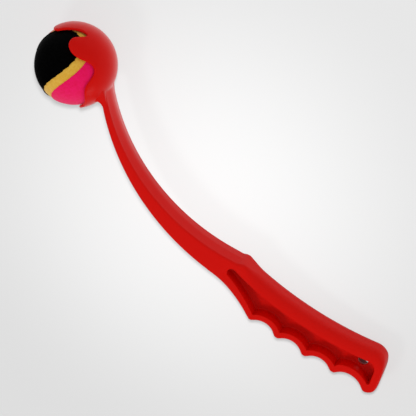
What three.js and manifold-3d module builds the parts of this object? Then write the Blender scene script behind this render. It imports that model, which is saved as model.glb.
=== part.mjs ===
// Dog ball thrower with its ball. The thrower is one plastic moulding: a claw shaped cup, a curved
// tapering arm and a handle with a deep pocket in each side, which leaves a thin web along its middle.
// The ball is two glued rubber halves under two felt panels and a seam band.
// Millimetres, +Z up. The thrower is drawn in its own mid-plane: x runs from the ball's centre along
// the length, y points to the palm side and z is square to the mid-plane. It lies on its side.
import * as THREE from "three";
import { mergeVertices } from "three/addons/utils/BufferGeometryUtils.js";
import Module from "manifold-3d";

const DEG = Math.PI / 180;
const SMALL_TURN = 0.1 * DEG;

// Ball
const BALL_RADIUS = 31.5;
const FELT_THICKNESS = 2.8;
const GLUE_GAP = 0.5;
const CORE_WALL = 3.4;
const SEAM_WIDTH = 8;
const SEAM_RECESS = 0.4;
const SEAM_WAVE_SHARE = 0.23;
const BALL_TURN_DEG = { x: 90, y: -3, z: -8 };

// Cup. Reach is measured round the ball from the middle of the cup's back, and azimuth from the
// middle of its top finger to the middle of the lobe at the arm. Its two sides are alike, but for the
// notch beside the top finger: the far side has a plain shoulder there.
const CUP_CLEARANCE = 0.5;
const CUP_WALL = 2.1;
const OPENING_DEG = -116;
const RIM_AZIMUTH_REACH_DEG = [
  [0, 99.3], [7, 97.5], [12, 91], [12.9, 82], [13.2, 69], [14, 60], [16, 52.5], [20, 48],
  [25, 50.9], [28.5, 59.4], [30.5, 65.4], [36, 70], [43, 71.6], [50, 70.4], [57, 67.2], [66, 59.4],
  [74, 50], [83, 44.7], [92, 43.3], [99, 46], [105, 53.4], [110.5, 62.3], [118, 68.7], [128, 73.3],
  [139, 78.4], [147, 84], [153, 90], [161, 96.5], [170, 99.3], [180, 99.3],
];
const FAR_SHOULDER_AZIMUTH_REACH_DEG = [[12.5, 90], [15, 86], [20, 81], [28, 76], [36, 73]];

// Arm, from the cup to the hump where the palm side of the handle starts. Its back has a low flat
// ridge, and its back edges grow rounder towards the hump.
const ARM_BACK_ANGLE_DEG = 12.5;
const ARM_FRONT_ANGLE_DEG = 1.5;
const ARM_BACK_SAG = 22.4;
const ARM_FRONT_SAG = 16.5;
const ARM_WIDTH_AT_CUP = 24;
const ARM_WIDTH_AT_HANDLE = 22.4;
const ARM_EDGE_RADIUS = 1.8;
const ARM_CROWN_AT_CUP = 2;
const ARM_CROWN_AT_HANDLE = 0.8;
const RIDGE_WIDTH_AT_CUP = 5.6;
const RIDGE_WIDTH_AT_HANDLE = 1;
const HUMP_EDGE_RADIUS = 2.5;
const HUMP_EDGE_LENGTH = 8;
const ARM_ROOT_OVERRUN = 5;
const ROOT_WEB_ANGLE_DEG = -6;
const ROOT_WEB_REACH = 5;
const ROOT_WEB_WIDTH = 18;

// Handle. Its palm side is an arc, depths run from that arc towards the fingers, and lengths run
// along it from the hump.
const HUMP_REACH = 203;
const HUMP_DROP = 9.7;
const HUMP_STEP = 3;
const HUMP_RUN_OUT = 6;
const PALM_RADIUS = 297.8;
const PALM_START_DEG = 1.35;
const HANDLE_LENGTH = 139.2;
const HANDLE_WIDTH = 25;
const HANDLE_WIDENING = 22;
const NECK_DEPTH = 26.4;
const GRIP_DEPTH = 33.2;
const INDEX_GROOVE_LEAD = 12.8;
const FIRST_CREST = 35;
const CREST_RISES = [0.7, -0.5, -0.3, 0];
const BUTT_GROOVE_LENGTH = 26.7;
const BUTT_TIP_RADIUS = 7;
const INDEX_GROOVE_DIP = 4.9;
const FINGER_GROOVE_DIP = 5.7;
const BUTT_GROOVE_DIP = 7;
const BUTT_FLARE = 4.3;
const CREST_RADIUS = 4;
const PALM_EDGE_RADIUS = 9;
const FINGER_EDGE_RADIUS = 3.5;
const BUTT_PALM_RADIUS = 11;
const BUTT_EDGE_RADIUS = 2;
const BUTT_BULGE = 2.6;

// Pocket in each side of the handle, and the hanging hole through the web
const WEB_THICKNESS = 3.4;
const PALM_RIM = 9.1;
const NECK_RIM = 8.6;
const FINGER_RIM = 6.2;
const BUTT_GROOVE_RIM = 7.2;
const BUTT_RIM = 5.4;
const POCKET_START = 2;
const POCKET_PALM_CORNER = 7;
const POCKET_FINGER_CORNER = 1.6;
const HOLE_DIAMETER = 8.4;
const HOLE_FROM_BUTT = 16.3;
const HOLE_DEPTH = 15.9;
const CUT_OVERRUN = 5;

const RED = 0xc41508;
const BLACK = 0x0c0c10;
const PINK = 0xd8155c;
const YELLOW = 0xd9b441;
const RUBBER = 0x3a3835;
const PLASTIC_ROUGHNESS = 0.4;
const RUBBER_ROUGHNESS = 0.85;
const FELT_ROUGHNESS = 0.95;

// Numbers of facets
const EDGE_STEPS = 5;
const ARM_STEPS = 20;
const RIM_STEPS = 112;
const SHELL_RINGS = 8;
const LIP_STEPS = 3;
const PANEL_STEPS = 44;
const PANEL_RINGS = 10;
const BAND_STEPS = 60;
const CORE_STEPS = 24;
const CORE_RINGS = 6;
const CORNER_STEPS = 4;
const HOLE_SIDES = 20;
const ROOT_SPHERE_STEPS = 40;
const HUMP_SHARES = [0, 0.15, 0.35, 0.65, 1];
const GROOVE_SHARES = [0, 0.08, 0.17, 0.32, 0.5, 0.68, 0.83, 0.92];
const BUTT_SHARES = [0, 0.35, 0.6, 0.8, 0.93, 1];

const cupInner = BALL_RADIUS + CUP_CLEARANCE;
const cupOuter = cupInner + CUP_WALL;
const wallMiddle = cupInner + CUP_WALL / 2;
const gripRadius = PALM_RADIUS + GRIP_DEPTH;
const palmCentre = new THREE.Vector2(
  HUMP_REACH - PALM_RADIUS * Math.sin(PALM_START_DEG * DEG),
  PALM_RADIUS * Math.cos(PALM_START_DEG * DEG) - HUMP_DROP,
);

const { lerp, smoothstep } = THREE.MathUtils;

const wasm = await Module();
wasm.setup();

// Solids for joining and cutting, from closed geometries and back
function solidFrom(geometry) {
  const bare = geometry.clone();
  bare.deleteAttribute("normal");
  bare.deleteAttribute("uv");
  const merged = mergeVertices(bare);
  return new wasm.Manifold(
    new wasm.Mesh({
      numProp: 3,
      vertProperties: merged.attributes.position.array,
      triVerts: Uint32Array.from(merged.index.array),
    }),
  );
}

function geometryFrom(solid) {
  const { vertProperties, triVerts } = solid.getMesh();
  const geometry = new THREE.BufferGeometry();
  geometry.setAttribute("position", new THREE.BufferAttribute(vertProperties, 3));
  geometry.setIndex(new THREE.BufferAttribute(triVerts, 1));
  geometry.computeVertexNormals();
  return geometry;
}

// A closed body over rows of points that follow each other, each row a closed loop of as many points.
// A fan from a tip closes each end, and a body without tips closes on its own first row.
function body(rows, tips = []) {
  const count = rows[0].length;
  const faces = [];
  const skinned = tips.length ? rows.length - 1 : rows.length;
  for (let row = 0; row < skinned; row++) {
    const [here, there] = [row * count, ((row + 1) % rows.length) * count];
    for (let k = 0; k < count; k++) {
      const next = (k + 1) % count;
      faces.push(here + k, here + next, there + next, here + k, there + next, there + k);
    }
  }
  if (tips.length) {
    const first = rows.length * count;
    const lastRow = first - count;
    for (let k = 0; k < count; k++) {
      const next = (k + 1) % count;
      faces.push(first, next, k, first + 1, lastRow + k, lastRow + next);
    }
  }
  const geometry = new THREE.BufferGeometry().setFromPoints([...rows.flat(), ...tips]);
  geometry.setIndex(faces);
  geometry.computeVertexNormals();
  return geometry;
}

function middleOf(points) {
  const sum = points.reduce((total, point) => total.add(point), new THREE.Vector3());
  return sum.divideScalar(points.length);
}

// Arcs and places of the mid-plane
function arcThrough(from, to, sag) {
  const chord = to.clone().sub(from);
  const half = chord.length() / 2;
  const radius = (half * half + sag * sag) / (2 * sag);
  const along = chord.clone().normalize();
  const up = new THREE.Vector2(-along.y, along.x);
  const centre = from.clone().add(to).multiplyScalar(0.5).addScaledVector(up, radius - sag);
  const halfAngle = Math.asin(half / radius);
  return {
    length: 2 * halfAngle * radius,
    at(share) {
      const angle = lerp(-halfAngle, halfAngle, share);
      return centre
        .clone()
        .addScaledVector(along, radius * Math.sin(angle))
        .addScaledVector(up, -radius * Math.cos(angle));
    },
  };
}

function cupPoint(angleDeg) {
  return new THREE.Vector2(Math.cos(angleDeg * DEG), Math.sin(angleDeg * DEG)).multiplyScalar(cupOuter);
}

function handlePoint(length, depth) {
  const angle = PALM_START_DEG * DEG + length / PALM_RADIUS;
  const radius = PALM_RADIUS + depth;
  const spoke = new THREE.Vector2(Math.sin(angle), -Math.cos(angle)).multiplyScalar(radius);
  return spoke.add(palmCentre);
}

// Grooves of the finger side, one after another, each with its own length, dip and rim. The finger
// grooves share what the index groove and the butt leave of the handle.
const buttTip = HANDLE_LENGTH - BUTT_TIP_RADIUS;
const lastCrest = buttTip - BUTT_GROOVE_LENGTH;
const fingerGrooves = CREST_RISES.length - 1;
const fingerPitch = (lastCrest - FIRST_CREST) / fingerGrooves;
const crestDepths = CREST_RISES.map((rise) => GRIP_DEPTH + rise);
const grooves = [
  {
    from: -INDEX_GROOVE_LEAD,
    to: FIRST_CREST,
    dip: INDEX_GROOVE_DIP,
    depths: [NECK_DEPTH, crestDepths[0]],
    rims: [NECK_RIM, FINGER_RIM],
  },
];
for (let k = 0; k < fingerGrooves; k++) {
  grooves.push({
    from: FIRST_CREST + k * fingerPitch,
    to: FIRST_CREST + (k + 1) * fingerPitch,
    dip: FINGER_GROOVE_DIP,
    depths: [crestDepths[k], crestDepths[k + 1]],
    rims: [FINGER_RIM, FINGER_RIM],
  });
}
grooves.push({
  from: lastCrest,
  to: buttTip,
  dip: BUTT_GROOVE_DIP,
  depths: [crestDepths.at(-1), GRIP_DEPTH + BUTT_FLARE],
  rims: [BUTT_GROOVE_RIM, BUTT_GROOVE_RIM],
});

function grooveAt(length) {
  const groove = grooves.find(({ to }) => length <= to) ?? grooves.at(-1);
  const share = (length - groove.from) / (groove.to - groove.from);
  const half = ((groove.to - groove.from) * gripRadius) / PALM_RADIUS / 2;
  const radiiSum = (half * half + groove.dip * groove.dip) / (2 * groove.dip);
  return {
    half,
    off: Math.abs(2 * share - 1) * half,
    radius: radiiSum - CREST_RADIUS,
    radiiSum,
    dip: groove.dip,
    depth: lerp(...groove.depths, share),
    rim: lerp(...groove.rims, share),
  };
}

// How far a quarter round edge falls in, at a distance into its radius
function roundedInset(into, radius) {
  const distance = THREE.MathUtils.clamp(into, 0, radius);
  return radius - Math.sqrt(radius ** 2 - distance ** 2);
}

// Depth of the finger side, with round grooves and small round crests tangent to each other
function fingerDepth(length) {
  if (length > buttTip) {
    return GRIP_DEPTH + BUTT_FLARE - roundedInset(length - buttTip, BUTT_TIP_RADIUS);
  }
  const { half, off, radius, radiiSum, dip, depth } = grooveAt(length);
  if (off <= (half * radius) / radiiSum) {
    return depth - dip + radius - Math.sqrt(radius ** 2 - off ** 2);
  }
  return depth - CREST_RADIUS + Math.sqrt(CREST_RADIUS ** 2 - (half - off) ** 2);
}

// Depth of the pocket's finger side, one rim inside the grooves, with a sharp cusp at each crest
function pocketDepth(length) {
  const { off, radius, dip, depth, rim } = grooveAt(Math.min(length, buttTip));
  return depth - dip + radius - Math.sqrt((radius + rim) ** 2 - off ** 2);
}

// A section between a front and a back point: flat sides, round edges and a low flat ridge on the back
function section({ back, front, halfWidth, backRadius, frontRadius, crown, ridge, bulge = 0 }) {
  const across = back.clone().sub(front);
  const depth = across.length();
  across.normalize();
  const along = new THREE.Vector2(across.y, -across.x);
  const rimRadius = (radius) => Math.min(radius, halfWidth, depth / 2);
  const [palm, finger] = [rimRadius(backRadius), rimRadius(frontRadius)];
  const half = [
    [depth + crown, 0],
    [depth + crown, ridge / 2],
  ];
  for (let k = 0; k <= EDGE_STEPS; k++) {
    const angle = (Math.PI / 2) * (k / EDGE_STEPS);
    half.push([depth - palm + palm * Math.cos(angle), halfWidth - palm + palm * Math.sin(angle)]);
  }
  for (let k = 0; k <= EDGE_STEPS; k++) {
    const angle = (Math.PI / 2) * (k / EDGE_STEPS);
    half.push([finger - finger * Math.sin(angle), halfWidth - finger + finger * Math.cos(angle)]);
  }
  const outline = [...half, [0, 0], ...half.slice(1).reverse().map(([d, z]) => [d, -z])];
  return outline.map(([d, z]) => {
    const share = (2 * d) / depth - 1;
    const point = front
      .clone()
      .addScaledVector(across, d)
      .addScaledVector(along, bulge * (1 - share * share));
    return new THREE.Vector3(point.x, point.y, z);
  });
}

function fingerEdge(length) {
  const share = smoothstep(length, -INDEX_GROOVE_LEAD, FIRST_CREST);
  return lerp(ARM_EDGE_RADIUS, FINGER_EDGE_RADIUS, share);
}

// The palm side rises from the arm's back to its own arc, fast at first, and grows rounder
function handleSection(length) {
  const palmInset = roundedInset(length - (HANDLE_LENGTH - BUTT_PALM_RADIUS), BUTT_PALM_RADIUS);
  const buttInset = roundedInset(length - (HANDLE_LENGTH - BUTT_EDGE_RADIUS), BUTT_EDGE_RADIUS);
  const widened = smoothstep(length, 0, HANDLE_WIDENING);
  const hump = Math.max(1 - length / HUMP_RUN_OUT, 0) ** 2;
  return section({
    back: handlePoint(length, HUMP_STEP * hump + palmInset + buttInset),
    front: handlePoint(length, fingerDepth(length) - buttInset),
    halfWidth: lerp(ARM_WIDTH_AT_HANDLE, HANDLE_WIDTH, widened) / 2 - buttInset,
    backRadius: lerp(HUMP_EDGE_RADIUS, PALM_EDGE_RADIUS, widened),
    frontRadius: fingerEdge(length),
    crown: ARM_CROWN_AT_HANDLE * hump,
    ridge: RIDGE_WIDTH_AT_HANDLE,
    bulge: BUTT_BULGE * smoothstep(length, lastCrest, HANDLE_LENGTH),
  });
}

function handleLengths() {
  const rise = HUMP_SHARES.map((share) => share * HUMP_RUN_OUT);
  const gripped = grooves.flatMap(({ from, to }) => GROOVE_SHARES.map((share) => lerp(from, to, share)));
  const butt = BUTT_SHARES.map((share) => lerp(buttTip, HANDLE_LENGTH, share));
  return [...rise, ...gripped.filter((length) => length > HUMP_RUN_OUT), ...butt];
}

// The arm runs between a back arc and a front arc, and its front goes on into the index groove
const armBack = arcThrough(cupPoint(ARM_BACK_ANGLE_DEG), handlePoint(0, HUMP_STEP), ARM_BACK_SAG);
const armFront = arcThrough(
  cupPoint(ARM_FRONT_ANGLE_DEG),
  handlePoint(-INDEX_GROOVE_LEAD, NECK_DEPTH),
  ARM_FRONT_SAG,
);
const neckShare = armFront.length / (armFront.length + INDEX_GROOVE_LEAD);

function armSection(share) {
  const groove = lerp(-INDEX_GROOVE_LEAD, 0, (share - neckShare) / (1 - neckShare));
  const onArc = share < neckShare;
  const rounded = smoothstep(share * armBack.length, armBack.length - HUMP_EDGE_LENGTH, armBack.length);
  return section({
    back: armBack.at(share),
    front: onArc ? armFront.at(share / neckShare) : handlePoint(groove, fingerDepth(groove)),
    halfWidth: lerp(ARM_WIDTH_AT_CUP, ARM_WIDTH_AT_HANDLE, share) / 2,
    backRadius: lerp(ARM_EDGE_RADIUS, HUMP_EDGE_RADIUS, rounded),
    frontRadius: onArc ? ARM_EDGE_RADIUS : fingerEdge(groove),
    crown: lerp(ARM_CROWN_AT_CUP, ARM_CROWN_AT_HANDLE, share),
    ridge: lerp(RIDGE_WIDTH_AT_CUP, RIDGE_WIDTH_AT_HANDLE, share),
  });
}

function armAndHandle() {
  const sections = [armSection(-ARM_ROOT_OVERRUN / armBack.length)];
  for (let step = 0; step < ARM_STEPS; step++) {
    sections.push(armSection(step / ARM_STEPS));
  }
  sections.push(...handleLengths().map(handleSection));
  return solidFrom(body(sections, [middleOf(sections[0]), middleOf(sections.at(-1))]));
}

function plate(outline, from, to) {
  const shape = new THREE.Shape(outline);
  const extruded = new THREE.ExtrudeGeometry(shape, { depth: to - from, bevelEnabled: false });
  return solidFrom(extruded.translate(0, 0, from));
}

// A short web fills the corner between the cup and the front of the arm
function rootWeb() {
  const front = armFront.at(ROOT_WEB_REACH / armFront.length);
  const back = armBack.at(ROOT_WEB_REACH / armBack.length);
  const insideWall = wallMiddle / cupOuter;
  const outline = [
    cupPoint(ROOT_WEB_ANGLE_DEG).multiplyScalar(insideWall),
    cupPoint(ROOT_WEB_ANGLE_DEG),
    front,
    back.lerp(front, 1 / 2),
    cupPoint((ARM_BACK_ANGLE_DEG + ARM_FRONT_ANGLE_DEG) / 2).multiplyScalar(insideWall),
  ];
  return plate(outline, -ROOT_WEB_WIDTH / 2, ROOT_WEB_WIDTH / 2);
}

// Quarter turns round a place of the handle, clockwise from a start that is counted in quarters
function bend(length, depth, radius, start, quarters) {
  const steps = quarters * CORNER_STEPS;
  return Array.from({ length: steps + 1 }, (_, step) => {
    const angle = (Math.PI / 2) * (start - (quarters * step) / steps);
    return handlePoint(length + radius * Math.cos(angle), depth + radius * Math.sin(angle));
  });
}

// The pocket has a half round end at the hump, an even palm side, a cusped finger side and a round
// corner at each side of the butt
function pocketOutline() {
  const endRadius = (pocketDepth(POCKET_START) - PALM_RIM) / 2;
  const pocketEnd = HANDLE_LENGTH - BUTT_RIM;
  const fingerEnd = pocketEnd - POCKET_FINGER_CORNER;
  const palmEnd = pocketEnd - POCKET_PALM_CORNER;
  const inside = handleLengths().filter((length) => length > POCKET_START);
  const fingerSide = inside.filter((length) => length < fingerEnd);
  const palmSide = inside.filter((length) => length < palmEnd).reverse();
  return [
    ...bend(POCKET_START, PALM_RIM + endRadius, endRadius, -1, 2),
    ...fingerSide.map((length) => handlePoint(length, pocketDepth(length))),
    ...bend(fingerEnd, pocketDepth(fingerEnd) - POCKET_FINGER_CORNER, POCKET_FINGER_CORNER, 1, 1),
    ...bend(palmEnd, PALM_RIM + POCKET_PALM_CORNER, POCKET_PALM_CORNER, 0, 1),
    ...palmSide.map((length) => handlePoint(length, PALM_RIM)),
  ];
}

function hangingHole() {
  const height = WEB_THICKNESS + 2 * CUT_OVERRUN;
  const place = handlePoint(HANDLE_LENGTH - HOLE_FROM_BUTT, HOLE_DEPTH);
  const drill = new THREE.CylinderGeometry(HOLE_DIAMETER / 2, HOLE_DIAMETER / 2, height, HOLE_SIDES);
  return solidFrom(drill.rotateX(Math.PI / 2).translate(place.x, place.y, 0));
}

// A piece of a round shell about the ball's centre: rows run out from a pole to a rim and back
function shellPiece({ pole, rim, inner, outer, rings, lipSteps }) {
  const middle = (inner + outer) / 2;
  const halfWall = (outer - inner) / 2;
  const inset = lipSteps > 1 ? halfWall / middle : 0;
  const edge = rim.map((point, k) => {
    const tangent = rim[(k + 1) % rim.length].clone().sub(rim.at(k - 1));
    const inward = point.clone().cross(tangent).normalize();
    return { point: point.clone().addScaledVector(inward, inset).normalize(), inward };
  });
  const ring = (radius, share) =>
    edge.map(({ point }) => {
      const arc = pole.angleTo(point);
      const axis = pole.clone().cross(point).normalize();
      return pole.clone().applyAxisAngle(axis, arc * share).multiplyScalar(radius);
    });
  const rows = [];
  for (let step = 1; step <= rings; step++) {
    rows.push(ring(inner, step / rings));
  }
  for (let step = 1; step < lipSteps; step++) {
    const angle = Math.PI * (step / lipSteps - 1 / 2);
    rows.push(
      edge.map(({ point, inward }) =>
        point
          .clone()
          .multiplyScalar(middle + halfWall * Math.sin(angle))
          .addScaledVector(inward, -halfWall * Math.cos(angle)),
      ),
    );
  }
  for (let step = rings; step >= 1; step--) {
    rows.push(ring(outer, step / rings));
  }
  return body(rows, [pole.clone().multiplyScalar(inner), pole.clone().multiplyScalar(outer)]);
}

// The cup's rim is one smooth closed line through the places of its table
function cupShell() {
  const opening = OPENING_DEG * DEG;
  const back = new THREE.Vector3(-Math.cos(opening), -Math.sin(opening), 0);
  const top = new THREE.Vector3(-back.y, back.x, 0);
  const side = new THREE.Vector3().crossVectors(back, top);
  const shoulder = FAR_SHOULDER_AZIMUTH_REACH_DEG;
  const mirrored = RIM_AZIMUTH_REACH_DEG.slice(1, -1);
  const farSide = [
    ...mirrored.filter(([azimuth]) => azimuth < shoulder[0][0]),
    ...shoulder,
    ...mirrored.filter(([azimuth]) => azimuth > shoulder.at(-1)[0]),
  ];
  const farPlaces = farSide.reverse().map(([azimuth, reach]) => [-azimuth, reach]);
  const places = [...RIM_AZIMUTH_REACH_DEG, ...farPlaces];
  const directions = places.map(([azimuth, reach]) =>
    back
      .clone()
      .multiplyScalar(Math.cos(reach * DEG))
      .addScaledVector(top, Math.sin(reach * DEG) * Math.cos(azimuth * DEG))
      .addScaledVector(side, Math.sin(reach * DEG) * Math.sin(azimuth * DEG)),
  );
  const line = new THREE.CatmullRomCurve3(directions, true, "centripetal");
  const rim = line.getSpacedPoints(RIM_STEPS).slice(0, -1).map((point) => point.normalize());
  const sizes = { inner: cupInner, outer: cupOuter, rings: SHELL_RINGS, lipSteps: LIP_STEPS };
  return solidFrom(shellPiece({ pole: back, rim, ...sizes }));
}

function throwerBody() {
  const cavity = solidFrom(new THREE.SphereGeometry(wallMiddle, ROOT_SPHERE_STEPS, ROOT_SPHERE_STEPS / 2));
  let thrower = armAndHandle().add(rootWeb()).subtract(cavity).add(cupShell());
  const pocketTop = HANDLE_WIDTH / 2 + CUT_OVERRUN;
  thrower = thrower.subtract(plate(pocketOutline(), WEB_THICKNESS / 2, pocketTop));
  thrower = thrower.subtract(plate(pocketOutline(), -pocketTop, -WEB_THICKNESS / 2));
  return geometryFrom(thrower.subtract(hangingHole()));
}

// The seam winds round the ball as on a tennis ball, between the two poles of the felt panels
function seamPoint(turn) {
  const wave = SEAM_WAVE_SHARE;
  const steady = 1 - wave;
  return new THREE.Vector3(
    steady * Math.cos(turn) + wave * Math.cos(3 * turn),
    steady * Math.sin(turn) - wave * Math.sin(3 * turn),
    2 * Math.sqrt(steady * wave) * Math.sin(2 * turn),
  ).normalize();
}

// The line beside the seam, at a distance along the ball's surface towards the first panel's pole
function besideSeam(turn, distance) {
  const point = seamPoint(turn);
  const along = seamPoint(turn + SMALL_TURN).sub(seamPoint(turn - SMALL_TURN));
  const towardsPole = point.clone().cross(along).normalize();
  const angle = distance / BALL_RADIUS;
  return point.multiplyScalar(Math.cos(angle)).addScaledVector(towardsPole, Math.sin(angle));
}

function turns(steps) {
  return Array.from({ length: steps }, (_, step) => (2 * Math.PI * step) / steps);
}

const feltInner = BALL_RADIUS - FELT_THICKNESS;
const coreOuter = feltInner - GLUE_GAP;

function feltPanel(side) {
  const distance = side * (SEAM_WIDTH + GLUE_GAP) / 2;
  const rim = turns(PANEL_STEPS).map((turn) => besideSeam(side * turn, distance));
  const pole = new THREE.Vector3(0, 0, side);
  return shellPiece({ pole, rim, inner: feltInner, outer: BALL_RADIUS, rings: PANEL_RINGS, lipSteps: 1 });
}

function seamBand() {
  const half = (SEAM_WIDTH - GLUE_GAP) / 2;
  const outer = BALL_RADIUS - SEAM_RECESS;
  const rows = turns(BAND_STEPS).map((turn) => [
    besideSeam(turn, half).multiplyScalar(feltInner),
    besideSeam(turn, half).multiplyScalar(outer),
    besideSeam(turn, -half).multiplyScalar(outer),
    besideSeam(turn, -half).multiplyScalar(feltInner),
  ]);
  return body(rows);
}

function coreHalf() {
  const coreInner = coreOuter - CORE_WALL;
  const flat = GLUE_GAP / 2;
  const profile = [];
  for (let step = 0; step <= CORE_RINGS; step++) {
    const height = lerp(Math.asin(flat / coreOuter), Math.PI / 2, step / CORE_RINGS);
    profile.push(new THREE.Vector2(coreOuter * Math.cos(height), coreOuter * Math.sin(height)));
  }
  for (let step = CORE_RINGS; step >= 0; step--) {
    const height = lerp(Math.asin(flat / coreInner), Math.PI / 2, step / CORE_RINGS);
    profile.push(new THREE.Vector2(coreInner * Math.cos(height), coreInner * Math.sin(height)));
  }
  profile.push(profile[0].clone());
  return new THREE.LatheGeometry(profile, CORE_STEPS).rotateX(Math.PI / 2);
}

function piece(name, geometry, color, roughness) {
  const material = new THREE.MeshStandardMaterial({ color, roughness, metalness: 0 });
  const mesh = new THREE.Mesh(geometry, material);
  mesh.name = name;
  return mesh;
}

// The ball turns as a whole, and its second core half is the first one turned over
const ball = new THREE.Group();
const upperCore = piece("ball_core_upper_half", coreHalf(), RUBBER, RUBBER_ROUGHNESS);
const lowerCore = piece("ball_core_lower_half", coreHalf(), RUBBER, RUBBER_ROUGHNESS);
lowerCore.rotation.x = Math.PI;
ball.add(upperCore, lowerCore);
ball.add(piece("felt_panel_black", feltPanel(1), BLACK, FELT_ROUGHNESS));
ball.add(piece("felt_panel_pink", feltPanel(-1), PINK, FELT_ROUGHNESS));
ball.add(piece("seam_band_yellow", seamBand(), YELLOW, FELT_ROUGHNESS));
ball.rotation.set(BALL_TURN_DEG.x * DEG, BALL_TURN_DEG.y * DEG, BALL_TURN_DEG.z * DEG, "ZYX");

// Laid down, the ball's side and the butt's lower edge touch the ground
const thrower = new THREE.Group();
thrower.add(piece("thrower_body", throwerBody(), RED, PLASTIC_ROUGHNESS), ball);
const butt = handlePoint(HANDLE_LENGTH - BUTT_EDGE_RADIUS, GRIP_DEPTH / 2);
const toButtEdge = Math.hypot(butt.x, HANDLE_WIDTH / 2);
const slope = Math.asin(BALL_RADIUS / toButtEdge) - Math.atan2(HANDLE_WIDTH / 2, butt.x);
thrower.rotation.y = slope;

const model = new THREE.Group();
model.add(thrower);
model.updateMatrixWorld(true);
const box = new THREE.Box3().setFromObject(model, true);
thrower.position.set(-(box.min.x + box.max.x) / 2, -(box.min.y + box.max.y) / 2, -box.min.z);

export default model;
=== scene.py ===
from math import asin, atan2, cos, hypot, pi, radians, sin, sqrt, tan

import bmesh
import bpy
from mathutils import Euler, Matrix, Vector


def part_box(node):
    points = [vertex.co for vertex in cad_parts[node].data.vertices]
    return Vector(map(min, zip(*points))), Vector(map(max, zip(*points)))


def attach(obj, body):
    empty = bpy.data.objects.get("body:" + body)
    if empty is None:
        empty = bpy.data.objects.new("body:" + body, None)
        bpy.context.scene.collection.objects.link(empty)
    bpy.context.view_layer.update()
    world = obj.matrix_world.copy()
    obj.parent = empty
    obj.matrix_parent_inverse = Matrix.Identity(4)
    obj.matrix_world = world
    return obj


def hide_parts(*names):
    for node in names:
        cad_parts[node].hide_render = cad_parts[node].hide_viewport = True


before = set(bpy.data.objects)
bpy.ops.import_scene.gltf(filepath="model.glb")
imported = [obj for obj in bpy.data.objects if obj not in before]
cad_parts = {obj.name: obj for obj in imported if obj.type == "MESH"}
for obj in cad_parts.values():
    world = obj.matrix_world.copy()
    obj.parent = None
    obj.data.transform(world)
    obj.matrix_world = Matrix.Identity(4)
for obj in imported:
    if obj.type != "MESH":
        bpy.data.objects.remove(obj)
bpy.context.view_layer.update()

# Camera
# The camera stands about two and a half metres away with a long lens, above the palm side of the
# thrower. It was fitted to the outlines of ball, cup, arm and handle together, and has no shift.
CAMERA_PLACE = (-0.22592, 1.14264, 2.22365)
CAMERA_TURN_DEG = (-22.6603, 16.6682, 45.437)
CAMERA_LENS = 273.209

camera = bpy.data.objects.new("camera", bpy.data.cameras.new("camera"))
bpy.context.collection.objects.link(camera)
camera.location = CAMERA_PLACE
camera.rotation_euler = Euler([radians(a) for a in CAMERA_TURN_DEG], "XYZ")
camera.data.lens = CAMERA_LENS
bpy.context.scene.camera = camera

# Where the thrower lies
# The thrower is drawn in its own mid-plane in millimetres, from the ball's centre along its length,
# and lies on its side: the ball and the butt's lower edge touch the ground.
BALL_RADIUS = 31.5
HANDLE_LENGTH = 139.2
HANDLE_WIDTH = 25
HUMP_REACH = 203
HUMP_DROP = 9.7
PALM_RADIUS = 297.8
PALM_START = radians(1.35)
GRIP_DEPTH = 33.2
BUTT_EDGE_RADIUS = 2
MILLIMETRE = 0.001

palm_centre = Vector((
    HUMP_REACH - PALM_RADIUS * sin(PALM_START),
    PALM_RADIUS * cos(PALM_START) - HUMP_DROP,
))


def handle_point(length, depth):
    """A place of the handle's mid-plane, length along the palm arc and depth towards the fingers."""
    angle = PALM_START + length / PALM_RADIUS
    return palm_centre + (PALM_RADIUS + depth) * Vector((sin(angle), -cos(angle)))


core_boxes = [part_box("ball_core_upper_half"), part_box("ball_core_lower_half")]
core_low = Vector([min(box[0][axis] for box in core_boxes) for axis in range(3)])
core_high = Vector([max(box[1][axis] for box in core_boxes) for axis in range(3)])
butt_reach = handle_point(HANDLE_LENGTH - BUTT_EDGE_RADIUS, GRIP_DEPTH / 2).x
slope = asin(BALL_RADIUS / hypot(butt_reach, HANDLE_WIDTH / 2)) - atan2(HANDLE_WIDTH / 2, butt_reach)
turned = Matrix.Translation((core_low + core_high) / 2) @ Matrix.Rotation(slope, 4, "Y")
laid_down = turned @ Matrix.Scale(MILLIMETRE, 4)

# Arm and handle of the thrower
# One injection moulding of red polypropylene. The section changes all along it, so its skin is laid
# from rows of points: one half, which is mirrored over the mid-plane. Sizes are in millimetres.
FIRST_CREST = 35
CREST_RISES = (0.7, -0.5, -0.3, 0)
BUTT_GROOVE_LENGTH = 26.7
BUTT_TIP_RADIUS = 7
INDEX_GROOVE_LEAD = 12.8
NECK_DEPTH = 26.4
BUTT_FLARE = 4.3
CREST_RADIUS = 4
BUTT_TIP = HANDLE_LENGTH - BUTT_TIP_RADIUS
LAST_CREST = BUTT_TIP - BUTT_GROOVE_LENGTH
HANDLE_WIDENING = 22
HUMP_STEP = 3
HUMP_RUN_OUT = 6
HUMP_EDGE_RADIUS = 2.5
PALM_EDGE_RADIUS = 9
FINGER_EDGE_RADIUS = 3.5
BUTT_PALM_RADIUS = 11
BUTT_BULGE = 1.25
INDEX_GROOVE_DIP = 4.9
FINGER_GROOVE_DIP = 5.7
BUTT_GROOVE_DIP = 7
INDEX_RIM = 8.6
FINGER_RIM = 6.2
BUTT_GROOVE_RIM = 7.2

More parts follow.
